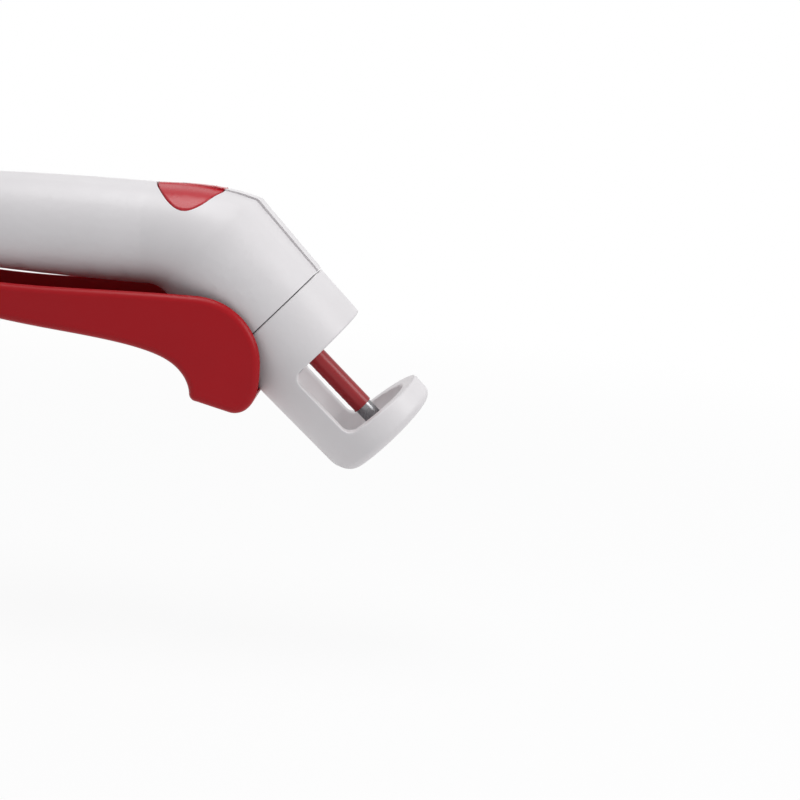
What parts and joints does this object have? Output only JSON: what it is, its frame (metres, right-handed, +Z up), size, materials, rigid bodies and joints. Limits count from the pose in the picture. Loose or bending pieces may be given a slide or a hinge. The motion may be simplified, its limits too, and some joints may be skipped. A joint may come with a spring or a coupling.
{
  "type": "cherry pitter",
  "caption": "Angled hand-held cherry pitter: oval handle, squeeze lever, geared plunger and a pull-off head with a fruit window and cup.",
  "frame": {"origin": "centre of the handle where the palm holds it, on the mid-plane, 47 mm behind the bend", "axes": "+X along the handle towards the head, +Y to the user's left, +Z up with the thumb button on top and the lever below, in the working hold"},
  "size_m": [0.1653, 0.0386, 0.0708],
  "materials": {
    "body_white": "satin moulded plastic",
    "head_white": "satin moulded plastic",
    "guide_white": "moulded plastic",
    "lever_red": "smooth moulded plastic",
    "button_red": "smooth moulded plastic",
    "plunger_red": "smooth moulded plastic",
    "gear_nylon": "natural nylon",
    "washer_nylon": "natural nylon",
    "tip_steel": "turned stainless steel",
    "axle_steel": "ground steel",
    "spring_steel": "drawn spring steel",
    "screw_steel": "zinc-plated steel"
  },
  "bodies": {
    "housing": {"housing_left": "body_white", "housing_right": "body_white", "housing_screws": "screw_steel", "plunger_guide": "guide_white", "gear_axle": "axle_steel", "axle_washers": "washer_nylon", "lever_pin": "axle_steel", "lever_spring": "spring_steel", "lock_button_pin": "axle_steel", "lock_button_spring": "spring_steel"},
    "head": {"pitting_head": "head_white"},
    "lever": {"lever": "lever_red"},
    "gear": {"drive_gear": "gear_nylon"},
    "plunger": {"plunger": "plunger_red", "plunger_tip": "tip_steel"},
    "button": {"lock_button": "button_red"}
  },
  "joints": [
    {"name": "lever_squeeze", "type": "hinge", "parent": "housing", "child": "lever", "pos_m": [-0.04713, 0, -0.0046], "axis": [0, 1, 0], "range_deg": [0, 11.8], "stiffness_Nm_per_rad": 0.9, "springref_deg": 31.85, "deforming": ["lever_spring"]},
    {"name": "gear_turn", "type": "hinge", "parent": "housing", "child": "gear", "pos_m": [0.05806, 0, -0.02059], "axis": [0, 1, 0], "range_deg": [-303.58, 0]},
    {"name": "plunger_slide", "type": "slide", "parent": "housing", "child": "plunger", "axis": [0.7431, 0, -0.6691], "range_m": [-0.0318, 0]},
    {"name": "head_pull_off", "type": "slide", "parent": "housing", "child": "head", "axis": [0.7431, 0, -0.6691], "range_m": [0, 0.05]},
    {"name": "lock_press", "type": "hinge", "parent": "housing", "child": "button", "pos_m": [0.0369, 0, 0.009], "axis": [0, 1, 0], "range_deg": [0, 4.5], "stiffness_Nm_per_rad": 0.05, "springref_deg": -11.46, "deforming": ["lock_button_spring"]}
  ],
  "couplings": [
    {"joint": "gear_turn", "follows": "lever_squeeze", "ratio": -25.6},
    {"joint": "plunger_slide", "follows": "lever_squeeze", "m_per_rad": -0.1536}
  ]
}
